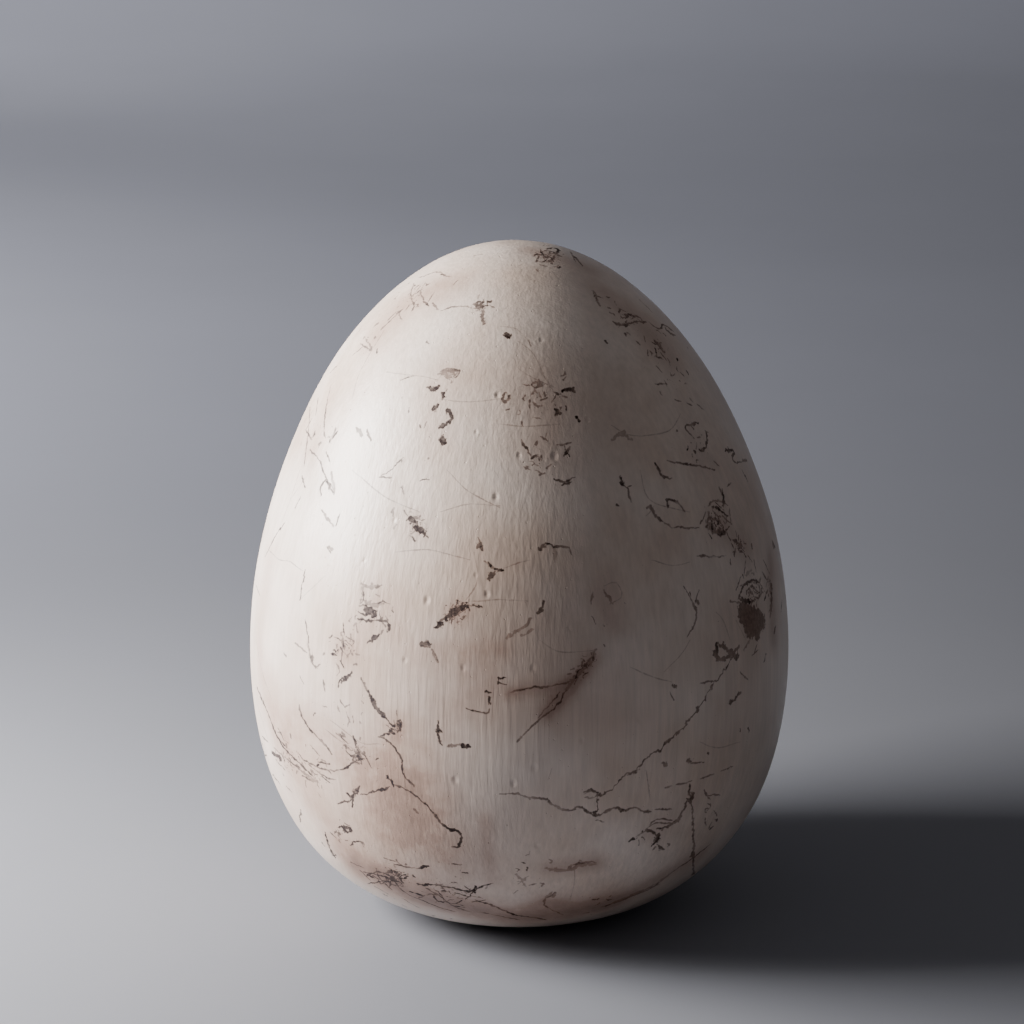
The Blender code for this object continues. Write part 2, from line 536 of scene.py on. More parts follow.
            [(278, 728), (284, 740)], [(268, 742), (262, 736)], [(298, 752), (306, 764)],
            [(352, 842), (363, 842), (364, 847)], [(351, 846), (354, 841)], [(330, 832), (336, 838)],
            [(272, 774), (280, 784)], [(286, 786), (292, 792)],
        ],
        "line": [
            [(257, 688), (265, 706), (272, 724), (280, 742), (290, 754), (302, 766), (314, 777)],
            [(387, 776), (393, 784), (394, 787)],
            [
                (394, 785), (408, 790), (423, 802), (433, 812), (441, 823), (450, 830), (457, 829),
                (461, 838), (458, 847), (452, 846),
            ],
            [(361, 795), (372, 792), (381, 790), (390, 787)], [(338, 804), (349, 801)],
            [(360, 786), (354, 795), (349, 802)], [(346, 793), (352, 798), (352, 807)],
            [(325, 832), (328, 843), (333, 856), (336, 855)], [(301, 810), (300, 822)],
            [(262, 742), (265, 756)], [(405, 777), (414, 786)],
            [(338, 828), (349, 826), (351, 831), (344, 832)],
        ],
        "thick": [
            [(272, 753), (280, 757), (280, 761)], [(388, 777), (392, 783)], [(354, 793), (358, 788)],
            [(344, 830), (349, 828)], [(358, 754), (361, 762)], [(331, 850), (334, 856)],
        ],
        "brown": [[(414, 809), (417, 813)]],
    },
    "foot, left": {
        "strength": 1.05,
        "fine": [
            [(394, 864), (411, 868), (427, 867)],
            [(399, 888), (411, 896), (426, 902), (441, 908), (456, 912)],
            [(362, 872), (382, 876), (404, 884)], [(368, 884), (386, 880), (402, 872)],
            [(376, 868), (380, 878), (392, 890)], [(404, 872), (396, 882), (404, 892)],
            [(384, 858), (396, 862)], [(350, 862), (364, 868)],
            [(438, 891), (447, 903), (459, 902), (471, 896)],
            [(426, 888), (441, 897), (453, 906), (471, 912)], [(418, 898), (430, 894), (440, 896)],
            [(450, 905), (466, 908)], [(363, 871), (381, 880)], [(384, 876), (390, 884), (402, 886)],
            [(390, 868), (398, 876), (408, 874)], [(471, 896), (483, 898)], [(464, 886), (476, 894)],
            [(452, 864), (462, 865)], [(480, 912), (500, 916), (520, 920)], [(408, 902), (420, 908)],
            [(374, 886), (388, 894)], [(472, 902), (486, 900)],
        ],
        "line": [
            [(418, 885), (435, 885), (453, 888), (471, 891), (486, 885), (493, 883)],
            [(475, 900), (489, 904), (503, 910), (516, 915), (530, 917), (546, 920)],
            [(366, 876), (378, 872), (390, 876)], [(380, 884), (392, 880), (400, 888)],
            [(384, 874), (394, 871), (400, 878), (408, 876)], [(388, 882), (396, 880), (404, 886)],
            [(392, 870), (390, 888)], [(410, 892), (424, 896)], [(455, 893), (470, 897)],
            [(432, 894), (440, 902), (452, 900)], [(360, 870), (370, 880)], [(476, 886), (470, 896)],
        ],
        "thick": [
            [(386, 874), (396, 880)], [(421, 868), (428, 866)], [(418, 884), (428, 886)],
            [(366, 874), (374, 878)], [(467, 891), (475, 892)], [(398, 872), (402, 882)],
        ],
    },
    "waist, middle": {
        "strength": 0.88,
        "hair": [
            [(540, 640), (560, 652), (596, 650)], [(630, 667), (650, 676), (672, 682)],
            [(604, 586), (616, 582), (622, 596), (610, 604)], [(652, 560), (672, 566), (690, 562)],
        ],
        "faint": [
            [(596, 650), (588, 664), (576, 676), (566, 690)], [(554, 548), (555, 562)],
            [(604, 590), (612, 604)],
        ],
        "fine": [
            [(510, 692), (530, 688), (554, 686), (571, 681)], [(595, 652), (590, 660), (582, 668)],
            [(566, 690), (556, 706), (544, 716), (528, 730), (517, 742)],
            [(590, 664), (580, 674), (574, 684)], [(584, 660), (578, 672), (570, 680)],
            [(569, 548), (572, 555)], [(593, 592), (591, 604)], [(592, 616), (596, 624)],
            [(560, 692), (548, 706), (538, 718)],
        ],
        "line": [
            [(539, 549), (545, 544), (556, 546), (569, 548)], [(544, 601), (538, 614)],
            [(604, 645), (605, 646)], [(604, 624), (605, 625)], [(623, 603), (624, 604)],
            [(596, 650), (590, 660), (580, 670), (575, 678)],
        ],
        "thick": [[(593, 653), (592, 660)], [(539, 549), (546, 546)], [(540, 608), (538, 613)]],
        "brown": [
            [(532, 630), (522, 636)],
        ],
    },
    "waist, right": {
        "strength": 0.86,
        "hair": [
            [(697, 556), (720, 557), (726, 555)], [(716, 612), (724, 622), (730, 640)],
            [(690, 640), (680, 656), (664, 672)], [(746, 640), (736, 620)], [(654, 506), (646, 516)],
        ],
        "faint": [
            [(768, 576), (772, 596), (770, 618)], [(714, 512), (720, 522)], [(746, 590), (756, 598)],
            [(750, 640), (744, 650)], [(744, 576), (752, 570)],
        ],
        "fine": [
            [(672, 527), (690, 528), (699, 528)], [(663, 522), (672, 527)],
            [(697, 556), (712, 557), (724, 556)], [(730, 601), (741, 603)], [(754, 560), (756, 572)],
            [(691, 630), (687, 637)], [(725, 530), (731, 541)], [(757, 644), (754, 654)],
            [(706, 512), (700, 524)], [(740, 672), (748, 680)], [(763, 560), (770, 574)],
            [(748, 556), (752, 562)], [(722, 516), (732, 524)], [(684, 586), (688, 594), (693, 603)],
            [(690, 592), (691, 597)], [(699, 590), (695, 603)], [(741, 576), (736, 590)],
            [(758, 580), (764, 590)], [(708, 506), (716, 500), (728, 506)], [(706, 520), (708, 530)],
            [(729, 508), (731, 524)], [(670, 692), (674, 700)], [(700, 684), (716, 680)],
            [(762, 572), (768, 582)], [(752, 656), (758, 650)],
            [(740, 586), (752, 582), (760, 588), (758, 600)], [(746, 560), (744, 574)],
            [(713, 500), (724, 510)],
        ],
        "line": [
            [(693, 603), (696, 612), (696, 620), (691, 631)], [(722, 489), (723, 497), (723, 507)],
            [(709, 512), (708, 524), (714, 532), (724, 534), (729, 526)],
            [(712, 506), (720, 510), (727, 516)], [(732, 540), (738, 543), (744, 552)],
            [(738, 548), (746, 556)], [(675, 685), (676, 688)], [(729, 702), (733, 701), (741, 692)],
            [(740, 729), (741, 731)], [(748, 729), (749, 730)], [(663, 763), (665, 765)],
            [(688, 760), (690, 762)], [(708, 753), (709, 754)], [(697, 600), (698, 604)],
            [(738, 599), (744, 586), (754, 580), (760, 584)],
            [(740, 600), (750, 602), (760, 596), (762, 588)], [(770, 580), (772, 598), (769, 612)],
            [(772, 540), (775, 548)], [(746, 592), (752, 586), (758, 592)],
            [(716, 520), (724, 526), (722, 532)], [(764, 600), (768, 590)], [(730, 540), (736, 552)],
            [(766, 654), (764, 662)], [(782, 600), (781, 612)], [(776, 626), (774, 634)],
        ],
        "thick": [
            [(717, 643), (716, 656), (722, 660), (733, 655)], [(717, 643), (728, 650), (737, 659)],
            [(711, 526), (718, 533), (727, 530)], [(729, 702), (732, 702)], [(739, 599), (750, 602)],
            [(771, 584), (772, 600)], [(734, 541), (740, 546)], [(733, 654), (739, 645)],
            [(773, 542), (775, 547)],
        ],
        "zigzag": [[
            (731, 661), (717, 680), (708, 693), (699, 707), (687, 722), (681, 731), (669, 740), (660, 750),
            (651, 753), (642, 764), (634, 772), (624, 776), (620, 781), (614, 785), (611, 790), (604, 794),
            (599, 795), (598, 804), (595, 815),
        ]],
    },
    "foot, right": {
        "strength": 0.88,
        "hair": [
            [(700, 742), (716, 748), (740, 742)], [(574, 866), (574, 884), (570, 900)],
            [(548, 780), (552, 768)], [(646, 770), (650, 800)],
        ],
        "faint": [
            [(545, 868), (563, 871), (578, 864), (596, 862)], [(516, 874), (526, 886)],
            [(518, 884), (528, 876)], [(606, 906), (640, 892), (668, 876)], [(552, 892), (545, 899)],
        ],
        "fine": [
            [(655, 810), (672, 809)], [(665, 788), (672, 786)], [(676, 785), (692, 781)],
            [(700, 779), (714, 774)], [(721, 771), (733, 766)], [(649, 825), (657, 819), (675, 821)],
            [(645, 830), (654, 824), (673, 823)], [(708, 795), (720, 795)], [(705, 812), (710, 808)],
            [(714, 810), (717, 816)], [(712, 822), (708, 829)], [(705, 818), (706, 826)],
            [(544, 905), (551, 909), (563, 915)], [(690, 764), (704, 762)],
            [(584, 794), (591, 791), (599, 794), (592, 798), (585, 797)], [(596, 820), (604, 822)],
            [(704, 790), (710, 800)],
        ],
        "line": [
            [(688, 799), (682, 813), (678, 820), (664, 828), (657, 829)],
            [(636, 837), (645, 831), (654, 832), (657, 837)], [(657, 844), (664, 850)],
            [(584, 792), (592, 790), (600, 794)], [(689, 792), (693, 794), (692, 800), (687, 798)],
            [(710, 844), (693, 858), (675, 870), (651, 888), (633, 896), (615, 903), (602, 907)],
            [(500, 794), (518, 794), (530, 798), (545, 799), (551, 804), (565, 810), (572, 810)],
            [
                (572, 810), (579, 807), (587, 811), (595, 816), (604, 813), (616, 807), (624, 811),
                (633, 808), (651, 812),
            ],
            [(690, 784), (690, 795), (692, 807), (693, 831), (694, 849), (693, 861), (694, 878)],
            [(556, 892), (545, 899), (544, 905)],
        ],
        "thick": [
            [(652, 846), (657, 840), (658, 834)], [(689, 794), (692, 799)], [(594, 814), (598, 815)],
            [(692, 852), (694, 858)], [(576, 864), (584, 863)],
        ],
        "brown": [[(546, 868), (567, 870), (580, 865), (596, 864)], [(620, 900), (660, 884)]],
    },
}

# Dark blots: pixels along the middle, radius in pixels, darkness
blotsSeen = [
    ([(443, 440)], 4.6, 1.0), ([(410, 518), (416, 524)], 3.6, 1.0), ([(418, 528), (423, 531)], 3.4, 1.0),
    ([(437, 730)], 3.6, 1.0), ([(367, 611), (373, 612)], 4.4, 1.0), ([(398, 726)], 2.6, 0.9),
    ([(392, 732)], 2.2, 0.9), ([(744, 613), (752, 617), (760, 622)], 11.5, 0.74),
    ([(748, 628), (757, 632)], 8.0, 0.74), ([(712, 520), (712, 528)], 4.4, 0.60), ([(720, 532)], 4.0, 0.74),
    ([(345, 830)], 3.4, 1.0), ([(358, 757)], 3.6, 1.0), ([(449, 616), (457, 610), (465, 606)], 3.6, 1.0),
    ([(675, 686)], 2.6, 0.8), ([(730, 702)], 3.0, 0.8), ([(554, 895)], 3.6, 0.6), ([(773, 545)], 4.0, 0.6),
    ([(736, 656)], 3.4, 0.8), ([(482, 305), (477, 307)], 2.6, 0.9), ([(448, 373)], 3.6, 0.35),
    ([(355, 793)], 2.6, 1.0), ([(546, 257)], 2.6, 0.6), ([(660, 346)], 2.8, 0.7), ([(690, 797)], 2.8, 0.75),
    ([(581, 864)], 4.0, 0.5), ([(311, 657)], 2.6, 0.9), ([(489, 701)], 2.4, 0.9),
    ([(385, 877), (394, 880)], 3.4, 0.9), ([(480, 547)], 2.8, 1.0), ([(595, 815)], 2.6, 0.7),
    ([(771, 590), (771, 612)], 3.6, 0.6), ([(424, 645)], 3.0, 0.95), ([(664, 764)], 2.8, 0.6),
    ([(689, 761)], 2.8, 0.65), ([(740, 545)], 3.4, 0.6), ([(434, 410)], 2.2, 0.95),
    ([(448, 411)], 2.2, 0.95), ([(425, 459)], 2.2, 0.95), ([(401, 459)], 2.4, 0.6),
    ([(348, 676)], 2.6, 0.9), ([(557, 412)], 2.4, 0.7), ([(569, 391)], 2.4, 0.85), ([(471, 891)], 3.0, 0.9),
    ([(590, 662), (580, 672)], 3.0, 0.5),
]

# Clusters of fine specks: middle pixel, radius in pixels, strength
specksSeen = [
    (416, 525, 11, 1.0), (739, 545, 12, 0.9), (716, 520, 14, 1.0), (752, 588, 15, 1.0), (372, 608, 18, 0.6),
    (546, 394, 28, 0.5), (546, 458, 26, 0.45), (660, 350, 20, 0.6), (628, 320, 18, 0.6),
    (548, 256, 14, 1.0), (394, 877, 18, 1.0), (450, 893, 26, 0.7), (357, 754, 14, 1.0), (290, 760, 20, 0.8),
    (481, 306, 8, 1.0), (344, 834, 18, 0.6), (700, 440, 20, 0.5), (656, 838, 14, 0.6), (345, 648, 20, 0.7),
    (320, 430, 26, 0.4), (456, 614, 14, 0.9), (340, 720, 30, 0.35), (582, 670, 14, 0.5),
    (770, 590, 14, 0.7), (530, 880, 22, 0.4), (430, 400, 24, 0.3), (710, 816, 12, 0.6), (600, 900, 26, 0.3),
    (412, 296, 20, 0.7), (396, 727, 9, 0.8), (672, 380, 18, 0.4), (318, 776, 16, 0.7), (350, 640, 14, 0.6),
    (367, 345, 14, 0.4),
]

# Smoke: pixels along the middle, radius in pixels, strength
smokeSeen = [
    ([(300, 730), (350, 760), (400, 790)], 48, 0.62), ([(262, 680), (285, 760), (330, 830)], 30, 0.50),
    ([(360, 868), (430, 900), (520, 916), (600, 906)], 26, 1.15), ([(420, 645), (470, 660)], 32, 0.20),
    ([(445, 372), (440, 440)], 26, 0.26), ([(450, 285), (405, 305), (380, 335)], 24, 0.55),
    ([(530, 250), (590, 268)], 16, 0.50), ([(592, 660), (570, 688), (548, 712)], 9, 0.80),
    ([(510, 694), (570, 684)], 7, 0.45), ([(486, 820), (492, 880)], 8, 0.32), ([(750, 615)], 20, 0.5),
    ([(718, 520), (745, 550)], 17, 0.45), ([(690, 430), (700, 460)], 22, 0.22),
    ([(600, 290), (640, 322), (664, 350)], 24, 0.50), ([(655, 832), (690, 800)], 16, 0.30),
    ([(550, 868), (596, 863)], 11, 0.60), ([(486, 560), (500, 572)], 30, 0.14),
    ([(490, 695), (440, 720)], 34, 0.22), ([(545, 395)], 30, 0.28), ([(548, 455)], 28, 0.22),
    ([(380, 610), (360, 650)], 30, 0.32), ([(416, 525)], 18, 0.30), ([(296, 430), (316, 480)], 26, 0.25),
    ([(458, 612)], 14, 0.55), ([(430, 855), (395, 840)], 56, 0.58), ([(400, 700), (430, 790)], 66, 0.26),
    ([(270, 560), (258, 640)], 18, 0.35), ([(604, 596), (612, 620)], 20, 0.30),
    ([(620, 900), (700, 855)], 14, 0.55), ([(396, 727)], 14, 0.35), ([(770, 560), (774, 640)], 12, 0.50),
    ([(500, 640), (540, 610)], 26, 0.12), ([(546, 902)], 20, 0.55), ([(430, 655), (500, 650)], 13, 0.18),
    ([(330, 400), (312, 450)], 16, 0.35), ([(345, 650)], 16, 0.35), ([(500, 700), (590, 700)], 50, 0.18),
    ([(340, 560), (300, 640)], 60, 0.14), ([(450, 560), (470, 620)], 60, 0.10),
    ([(700, 600), (740, 700)], 60, 0.12), ([(560, 600)], 70, 0.12), ([(520, 380), (560, 440)], 60, 0.14),
]

# Invented marks for the sides that the photograph doesn't show, in the manner of those that it shows.
# Each style is made only where the skin faces the camera less than its "facing". Lengths and radii are in
# mm, and a "turn" is a share of turnPerStep
marksElsewhere = {
    "seed": 23,
    "groups": 54,
    "lowest": -0.93,  # cosine of the angle from the crown
    "highest": 0.97,
    "turnPerStep": 0.30,  # radians of wander for each half millimetre
    "styles": ["flecks", "flecks", "flecks", "branch", "branch", "scribble", "blot", "arcs"],
    "flecks": {
        "facing": -0.12, "number": (7, 15), "spread": 6, "length": (0.6, 4.5), "strength": (0.7, 1.0),
        "kinds": ["fine", "fine", "line", "line", "thick"], "specks": (4, 8), "speckStrength": (0.3, 0.7),
    },
    "branch": {
        "facing": -0.42, "stem": (18, 46), "stemTurn": 0.45, "stemKinds": ["line", "zigzag", "zigzag"],
        "number": (1, 4), "fork": (0.5, 1.3), "twig": (4, 14), "twigTurn": 0.6,
        "twigKinds": ["fine", "line"], "smoke": (5, 10), "smokeStrength": (0.25, 0.6),
    },
    "scribble": {
        "facing": -0.12, "number": (2, 3), "length": (7, 16), "turn": 1.5, "kinds": ["line", "line", "thick"],
        "specks": (4, 7), "speckStrength": (0.4, 0.9),
    },
    "blot": {
        "facing": -0.12, "radius": (0.7, 2.6), "ink": (0.6, 1.0), "number": (1, 3), "tail": (2, 7),
        "kinds": ["fine", "line"], "speckRim": 3, "speckStrength": 0.7,
    },
    "arcs": {
        "facing": -0.42, "length": (20, 60), "turn": 0.2, "smoke": (5.0, 15.0), "smokeStrength": (0.15, 0.5),
    },
}
# Loose flecks among the specks of the front, drawn at random
looseFlecks = {
    "seed": 24,
    "perPixel": 1.1,  # flecks for each pixel of a cluster's radius, at full strength
    "spread": 0.55,  # of that radius
    "length": (0.5, 2.6),  # mm
    "turnPerStep": 0.5,
    "kinds": ["fine", "fine", "fine", "line"],
    "strength": (0.7, 1.1),
}
walk = {"step": 0.5, "memory": 0.7}  # mm from point to point of a random line, share of a bend that stays

sampleStep = 0.25  # mm between the points that a mark is measured from
strokeForm = {
    "apart": 7.31,  # steps through the noise from mark to mark
    "wanderRow": 0.5,  # rows of the noise
    "swellRow": 3.5,
    "fadeRow": 8.5,
    "steadyEnds": 1.5,  # mm from each end over which the wander sets in
    "wanderGain": 1.6,
    "mostTaper": 0.45,  # share of a mark that one tapered end may take
    "shortest": 1.2,  # mm, up to which a mark isn't tapered
    "tip": 0.45,  # width at the tips to the full width
    "swellSpacing": 1.7,  # mm between thick and thin places
    "swell": 0.75,
    "fadeSpacing": 3.5,  # mm between dark and pale places
    "fade": 0.45,
    "ink": 0.95,
}
inkReach = {
    "mark": 3.0,  # mm from a face to the mark that it may take ink from
    "beside": 2.4,  # mm from a face to that mark, within which the next one counts too
    "next": 2.0,  # mm from a face to the next one
    "apart": 3.0,  # mm along one mark, past which it counts as the next one, as where it crosses itself
    "window": 7,  # points along a mark, each way, among which a corner looks for its nearest
    "far": 10.0,  # mm, more than any mark reaches
    "thin": 0.1,  # half width in mm where there is no mark
}
softReach = {
    "step": 3.0,  # pixels between the points that a blot or cloud is measured from
    "far": 99.0,  # mm, more than any cloud reaches
    "noBlot": -6.0,  # mm inside the nearest blot, where none is near
}


def curveThrough(points, step):
    # A smooth line through given points, with a point about every step
    points = [np.array(p, float) for p in points]
    if len(points) == 1:
        points = [points[0], points[0] + 0.5]
    ends = [2 * points[0] - points[1]] + points + [2 * points[-1] - points[-2]]
    line = []
    for before, here, after, beyond in zip(ends, ends[1:], ends[2:], ends[3:]):
        count = max(2, int(np.linalg.norm(after - here) / step))
        for i in range(count):
            t = i / count
            line.append(0.5 * (
                2 * here + (after - before) * t
                + (2 * before - 5 * here + 4 * after - beyond) * t * t
                + (3 * here - before - 3 * after + beyond) * t**3
            ))
    line.append(points[-1])
    return line


def evenly(points, step):
    points = np.array(points)
    run = np.concatenate([[0], np.cumsum(np.linalg.norm(np.diff(points, axis=0), axis=1))])
    count = max(3, int(run[-1] / step) + 1)
    even = np.linspace(0, run[-1], count)
    return np.stack([np.interp(even, run, points[:, i]) for i in range(3)], 1), even


def noiseAlong(along, spacing, seed, row):
    return np.array([noise.noise(Vector((s / spacing, seed, row))) for s in along])


def lineDirections(points, normals):
    tangents = np.gradient(points, axis=0)
    tangents /= np.maximum(np.linalg.norm(tangents, axis=1), 1e-9)[:, None]
    return tangents, np.cross(normals, tangents)


strokes = []


def addStroke(surface, places, kind, strength=1.0):
    # Lays a mark on the skin and keeps what its edges are worked out from, all in mm
    look = markKinds[kind]
    form = strokeForm
    points, along = evenly(np.array(places) / mm, sampleStep)
    seed = len(strokes) * form["apart"]
    normals = np.array([surface.find_nearest(Vector(p) * mm)[1] for p in points])
    tangents, sideways = lineDirections(points, normals)
    wander = noiseAlong(along, look["spacing"], seed, form["wanderRow"])
    length = along[-1]
    toEnd = np.minimum(along, length - along)
    room = np.clip(toEnd / form["steadyEnds"], 0, 1)
    points = points + sideways * (wander * room * look["wander"] * form["wanderGain"])[:, None]
    tangents, sideways = lineDirections(points, normals)
    taper = min(look["taper"], length * form["mostTaper"]) + 0.01
    full = np.clip(toEnd / taper, 0, 1) if length > form["shortest"] else np.ones(len(along))
    swell = noiseAlong(along, form["swellSpacing"], seed, form["swellRow"])
    fade = noiseAlong(along, form["fadeSpacing"], seed, form["fadeRow"])
    tapered = form["tip"] + (1 - form["tip"]) * full
    strokes.append({
        "points": points,
        "tangents": tangents,
        "sideways": sideways,
        "half": look["width"] / 2 * tapered * (1 + form["swell"] * swell),
        "ink": np.clip(look["ink"] * strength * (form["ink"] + form["fade"] * fade), 0, 1),
        "kink": np.full(len(along), look["kink"]),
        "fromStart": along,
        "fromEnd": length - along,
    })


def frontLines(camera, surface):
    for region in frontMarks.values():
        for kind in markKinds:
            for pixels in region.get(kind, ()):
                places = [pixelOnEgg(camera, surface, x, y) for x, y in curveThrough(pixels, 1.0)]
                places = [p for p in places if p is not None]
                if len(places) > 1:
                    addStroke(surface, places, kind, region["strength"])


def walkOnEgg(surface, dice, start, heading, length, turnPerStep):
    # A wandering line on the skin, from a place and a heading
    place, normal = surface.find_nearest(start)[:2]
    side = normal.cross(Vector((0, 0, 1)))
    side = side.normalized() if side.length > 0.01 else Vector((1, 0, 0))
    up = side.cross(normal)
    direction = side * math.cos(heading) + up * math.sin(heading)
    places = [place]
    bend = 0
    for step in range(int(length / walk["step"])):
        bend = bend * walk["memory"] + dice.gauss(0, turnPerStep)
        across = normal.cross(direction)
        direction = (direction * math.cos(bend) + across * math.sin(bend)).normalized()
        place, normal = surface.find_nearest(place + direction * walk["step"] * mm)[:2]
        direction = (direction - normal * direction.dot(normal)).normalized()
        places.append(place)
    return places


def randomWalk(surface, dice, start, lengths, turnPerStep):
    heading = dice.uniform(0, math.tau)
    return walkOnEgg(surface, dice, start, heading, dice.uniform(*lengths), turnPerStep)


def flecksRoundSpecks(camera, surface):
    look = looseFlecks
    dice = random.Random(look["seed"])
    for x, y, radius, strength in specksSeen:
        spread = radius * look["spread"]
        for fleck in range(int(radius * strength * look["perPixel"])):
            spot = (x + dice.gauss(0, spread), y + dice.gauss(0, spread))
            place = pixelOnEgg(camera, surface, *spot)
            if place is None:
                continue
            line = randomWalk(surface, dice, place, look["length"], look["turnPerStep"])
            addStroke(surface, line, dice.choice(look["kinds"]), dice.uniform(*look["strength"]))


def marksInvented(camera, surface, blots, specks, smoke):
    dice = random.Random(marksElsewhere["seed"])
    turn = marksElsewhere["turnPerStep"]
    made = 0
    while made < marksElsewhere["groups"]:
        middle, normal = randomPlace(surface, dice, marksElsewhere["lowest"], marksElsewhere["highest"])
        style = dice.choice(marksElsewhere["styles"])
        look = marksElsewhere[style]
        if facesCamera(camera, middle, normal) > look["facing"]:
            continue
        made += 1
        if style == "flecks":
            for fleck in range(dice.randint(*look["number"])):
                start = middle + Vector([dice.gauss(0, look["spread"]) * mm for axis in range(3)])
                kind = dice.choice(look["kinds"])
                line = randomWalk(surface, dice, start, look["length"], turn)
                addStroke(surface, line, kind, dice.uniform(*look["strength"]))
            specks.append((middle, dice.uniform(*look["specks"]), dice.uniform(*look["speckStrength"])))
        elif style == "branch":
            heading = dice.uniform(0, math.tau)
            length = dice.uniform(*look["stem"])
            stem = walkOnEgg(surface, dice, middle, heading, length, turn * look["stemTurn"])
            addStroke(surface, stem, dice.choice(look["stemKinds"]))
            for twig in range(dice.randint(*look["number"])):
                start = dice.choice(stem)
                aside = heading + dice.choice([-1, 1]) * dice.uniform(*look["fork"])
                length = dice.uniform(*look["twig"])
                line = walkOnEgg(surface, dice, start, aside, length, turn * look["twigTurn"])
                addStroke(surface, line, dice.choice(look["twigKinds"]))
            half = stem[len(stem) // 2]
            smoke.append((half, dice.uniform(*look["smoke"]), dice.uniform(*look["smokeStrength"])))
        elif style == "scribble":
            for curl in range(dice.randint(*look["number"])):
                line = randomWalk(surface, dice, middle, look["length"], turn * look["turn"])
                addStroke(surface, line, dice.choice(look["kinds"]))
            specks.append((middle, dice.uniform(*look["specks"]), dice.uniform(*look["speckStrength"])))
        elif style == "blot":
            radius = dice.uniform(*look["radius"])
            blots.append((middle, radius, dice.uniform(*look["ink"])))
            for tail in range(dice.randint(*look["number"])):
                heading = dice.uniform(0, math.tau)
                length = radius + dice.uniform(*look["tail"])
                line = walkOnEgg(surface, dice, middle, heading, length, turn)
                addStroke(surface, line, dice.choice(look["kinds"]))
            specks.append((middle, radius + look["speckRim"], look["speckStrength"]))
        else:
            line = randomWalk(surface, dice, middle, look["length"], turn * look["turn"])
            addStroke(surface, line, "hair")
            smoke.append((middle, dice.uniform(*look["smoke"]), dice.uniform(*look["smokeStrength"])))


def nearestMarks(mesh, points, owner):
    # For each face the nearest point of a mark, and the nearest point of another mark
    tree = KDTree(len(points))
    for i, point in enumerate(points):
        tree.insert(point, i)
    tree.balance()
    centres = faceCentres(mesh) / mm
    nearest = np.full(len(centres), -1)
    second = np.full(len(centres), -1)
    for face, centre in enumerate(centres):
        index, gap = tree.find(centre)[1:]
        if gap > inkReach["mark"]:
            continue
        nearest[face] = index
        if gap > inkReach["beside"]:
            continue
        best = inkReach["far"]
        for point, other, gap in tree.find_range(centre, inkReach["next"]):
            apart = owner[other] != owner[index] or abs(other - index) > inkReach["apart"] / sampleStep
            if apart and gap < best:
                best = gap
                second[face] = other
    return nearest, second


def inkFaces(egg):
    # Each corner learns how far it is from the nearest mark of its face (A) and from the next one (B)
    mesh = egg.data
    points = np.concatenate([s["points"] for s in strokes])
    sizes = [len(s["points"]) for s in strokes]
    owner = np.repeat(np.arange(len(strokes)), sizes)
    first = np.repeat(np.cumsum([0] + sizes[:-1]), sizes)
    last = np.repeat(np.cumsum(sizes) - 1, sizes)
    joined = {name: np.concatenate([s[name] for s in strokes]) for name in strokes[0]}
    nearest, second = nearestMarks(mesh, points, owner)
    corners = len(mesh.loops)
    vertexOf = np.empty(corners, np.int64)
    mesh.loops.foreach_get("vertex_index", vertexOf)
    faceCorners = np.empty(len(mesh.polygons), np.int64)
    mesh.polygons.foreach_get("loop_total", faceCorners)
    faceOf = np.repeat(np.arange(len(mesh.polygons)), faceCorners)
    places = meshPoints(mesh)[vertexOf] / mm
    far = inkReach["far"]
    window = np.arange(-inkReach["window"], inkReach["window"] + 1)
    for name, chosen in (("A", nearest), ("B", second)):
        near = np.flatnonzero(chosen[faceOf] >= 0)
        base = chosen[faceOf[near]]
        options = np.clip(base[:, None] + window, first[base][:, None], last[base][:, None])
        gaps = np.linalg.norm(points[options] - places[near][:, None, :], axis=2)
        best = options[np.arange(len(near)), np.argmin(gaps, axis=1)]
        step = places[near] - points[best]
        offset = np.einsum("ij,ij->i", step, joined["sideways"][best])
        ahead = np.einsum("ij,ij->i", step, joined["tangents"][best])
        inside = np.minimum(joined["fromStart"][best] + ahead, joined["fromEnd"][best] - ahead)
        line = np.tile([far, 0.0, inkReach["thin"]], (corners, 1))
        line[near] = np.stack([offset, np.clip(inside, -far, far), joined["half"][best]], 1)
        look = np.zeros((corners, 3))
        look[near, 0] = joined["ink"][best]
        look[near, 1] = joined["kink"][best]
        for kind, values in (("markLine", line), ("markLook", look)):
            attribute = mesh.attributes.new(kind + name, "FLOAT_VECTOR", "CORNER")
            attribute.data.foreach_set("vector", values.ravel())


def pixelSpot(camera, surface, pixels):
    return [pixelOnEgg(camera, surface, x, y) for x, y in curveThrough(pixels, softReach["step"])]


